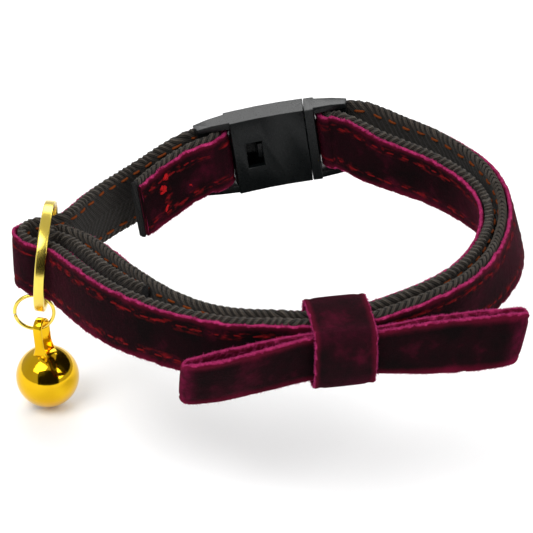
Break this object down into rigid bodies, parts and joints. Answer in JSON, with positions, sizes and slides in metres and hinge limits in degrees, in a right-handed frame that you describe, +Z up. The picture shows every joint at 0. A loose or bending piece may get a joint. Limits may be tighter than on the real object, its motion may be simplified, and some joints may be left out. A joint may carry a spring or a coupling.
{
  "type": "cat collar",
  "caption": "Velvet-faced webbing collar for a cat with a breakaway side-release buckle, a flat velvet bow, a gold ring and a hanging jingle bell.",
  "frame": {"origin": "middle of the neck hollow, at mid height of the strap", "axes": "+Z up along the wearer's neck, +Y towards the buckle at the back of the picture, -Y towards the bow, -X towards the bell"},
  "size_m": [0.0923, 0.0856, 0.0442],
  "materials": {
    "webbing": "brown-grey twill webbing",
    "velvet": "dark wine velvet ribbon with magenta selvedges",
    "bow_velvet": "dark wine velvet ribbon with magenta selvedges",
    "black_plastic": "black moulded plastic, satin",
    "ring_gold": "pale polished gold plate",
    "bell_gold": "deep polished gold plate",
    "pellet_steel": "plain steel"
  },
  "bodies": {
    "collar": {"webbing_strap": "webbing", "velvet_ribbon": "velvet", "bow_loops": "bow_velvet", "bow_knot": "bow_velvet", "buckle_socket": "black_plastic", "buckle_plug": "black_plastic", "gold_ring": "ring_gold"},
    "link": {"jump_ring": "ring_gold"},
    "jingle": {"bell": "bell_gold", "bell_pellet": "pellet_steel"}
  },
  "joints": [
    {"name": "link_swing", "type": "hinge", "parent": "collar", "child": "link", "pos_m": [-0.03977, -0.00217, -0.0128], "axis": [0, 1, 0], "range_deg": [-25, 25]},
    {"name": "bell_swing", "type": "hinge", "parent": "link", "child": "jingle", "pos_m": [-0.04013, -0.00217, -0.01746], "axis": [1, 0, 0], "range_deg": [-45, 45]}
  ]
}
